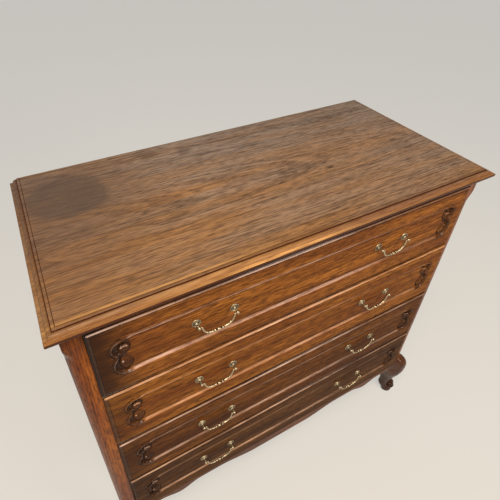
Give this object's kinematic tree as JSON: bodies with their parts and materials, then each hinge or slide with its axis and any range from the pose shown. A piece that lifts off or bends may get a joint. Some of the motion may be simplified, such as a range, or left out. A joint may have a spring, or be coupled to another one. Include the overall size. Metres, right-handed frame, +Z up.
{
  "type": "chest of drawers",
  "caption": "Stained oak chest of long drawers with a moulded top, scroll-cornered sunk panels, brass swan-neck bail handles and carved scroll front legs",
  "frame": {"origin": "on the floor, under the centre of the chest's bounding box", "axes": "+X to the right seen from the front, +Y towards the back, +Z up; the drawers open towards -Y"},
  "size_m": [1.053, 0.4875, 0.99],
  "materials": {
    "stained_oak": "satin lacquer",
    "inside_wood": "unfinished",
    "antique_brass": "antique satin"
  },
  "bodies": {
    "carcass": {"top_panel": "stained_oak", "front_post_left": "stained_oak", "front_post_right": "stained_oak", "rear_post_left": "stained_oak", "rear_post_right": "stained_oak", "side_panel_left": "stained_oak", "side_panel_right": "stained_oak", "back_panel": "inside_wood", "front_top_rail": "stained_oak", "kicker_left": "inside_wood", "kicker_right": "inside_wood", "apron": "stained_oak", "dust_board_1": "stained_oak", "dust_board_2": "stained_oak", "dust_board_3": "stained_oak", "bottom_board": "inside_wood"},
    "drawer_1": {"drawer_1_front": "stained_oak", "drawer_1_side_left": "inside_wood", "drawer_1_side_right": "inside_wood", "drawer_1_back": "inside_wood", "drawer_1_bottom": "inside_wood", "drawer_1_handle_post_1": "antique_brass", "drawer_1_handle_post_2": "antique_brass", "drawer_1_handle_post_3": "antique_brass", "drawer_1_handle_post_4": "antique_brass"},
    "drawer_1_bail_left": {"drawer_1_bail_left": "antique_brass"},
    "drawer_1_bail_right": {"drawer_1_bail_right": "antique_brass"},
    "drawer_2": {"drawer_2_front": "stained_oak", "drawer_2_side_left": "inside_wood", "drawer_2_side_right": "inside_wood", "drawer_2_back": "inside_wood", "drawer_2_bottom": "inside_wood", "drawer_2_handle_post_1": "antique_brass", "drawer_2_handle_post_2": "antique_brass", "drawer_2_handle_post_3": "antique_brass", "drawer_2_handle_post_4": "antique_brass"},
    "drawer_2_bail_left": {"drawer_2_bail_left": "antique_brass"},
    "drawer_2_bail_right": {"drawer_2_bail_right": "antique_brass"},
    "drawer_3": {"drawer_3_front": "stained_oak", "drawer_3_side_left": "inside_wood", "drawer_3_side_right": "inside_wood", "drawer_3_back": "inside_wood", "drawer_3_bottom": "inside_wood", "drawer_3_handle_post_1": "antique_brass", "drawer_3_handle_post_2": "antique_brass", "drawer_3_handle_post_3": "antique_brass", "drawer_3_handle_post_4": "antique_brass"},
    "drawer_3_bail_left": {"drawer_3_bail_left": "antique_brass"},
    "drawer_3_bail_right": {"drawer_3_bail_right": "antique_brass"},
    "drawer_4": {"drawer_4_front": "stained_oak", "drawer_4_side_left": "inside_wood", "drawer_4_side_right": "inside_wood", "drawer_4_back": "inside_wood", "drawer_4_bottom": "inside_wood", "drawer_4_handle_post_1": "antique_brass", "drawer_4_handle_post_2": "antique_brass", "drawer_4_handle_post_3": "antique_brass", "drawer_4_handle_post_4": "antique_brass"},
    "drawer_4_bail_left": {"drawer_4_bail_left": "antique_brass"},
    "drawer_4_bail_right": {"drawer_4_bail_right": "antique_brass"}
  },
  "joints": [
    {"name": "drawer_1_slide", "type": "slide", "parent": "carcass", "child": "drawer_1", "axis": [0, -1, 0], "range_m": [0, 0.3]},
    {"name": "drawer_1_bail_left_swing", "type": "hinge", "parent": "drawer_1", "child": "drawer_1_bail_left", "pos_m": [-0.2295, -0.2398, 0.8695], "axis": [-1, 0, 0], "range_deg": [-24, 200]},
    {"name": "drawer_1_bail_right_swing", "type": "hinge", "parent": "drawer_1", "child": "drawer_1_bail_right", "pos_m": [0.2295, -0.2398, 0.8695], "axis": [-1, 0, 0], "range_deg": [-24, 200]},
    {"name": "drawer_2_slide", "type": "slide", "parent": "carcass", "child": "drawer_2", "axis": [0, -1, 0], "range_m": [0, 0.3]},
    {"name": "drawer_2_bail_left_swing", "type": "hinge", "parent": "drawer_2", "child": "drawer_2_bail_left", "pos_m": [-0.2295, -0.2398, 0.6775], "axis": [-1, 0, 0], "range_deg": [-24, 200]},
    {"name": "drawer_2_bail_right_swing", "type": "hinge", "parent": "drawer_2", "child": "drawer_2_bail_right", "pos_m": [0.2295, -0.2398, 0.6775], "axis": [-1, 0, 0], "range_deg": [-24, 200]},
    {"name": "drawer_3_slide", "type": "slide", "parent": "carcass", "child": "drawer_3", "axis": [0, -1, 0], "range_m": [0, 0.3]},
    {"name": "drawer_3_bail_left_swing", "type": "hinge", "parent": "drawer_3", "child": "drawer_3_bail_left", "pos_m": [-0.2295, -0.2398, 0.4855], "axis": [-1, 0, 0], "range_deg": [-24, 200]},
    {"name": "drawer_3_bail_right_swing", "type": "hinge", "parent": "drawer_3", "child": "drawer_3_bail_right", "pos_m": [0.2295, -0.2398, 0.4855], "axis": [-1, 0, 0], "range_deg": [-24, 200]},
    {"name": "drawer_4_slide", "type": "slide", "parent": "carcass", "child": "drawer_4", "axis": [0, -1, 0], "range_m": [0, 0.3]},
    {"name": "drawer_4_bail_left_swing", "type": "hinge", "parent": "drawer_4", "child": "drawer_4_bail_left", "pos_m": [-0.2295, -0.2398, 0.2935], "axis": [-1, 0, 0], "range_deg": [-24, 200]},
    {"name": "drawer_4_bail_right_swing", "type": "hinge", "parent": "drawer_4", "child": "drawer_4_bail_right", "pos_m": [0.2295, -0.2398, 0.2935], "axis": [-1, 0, 0], "range_deg": [-24, 200]}
  ]
}
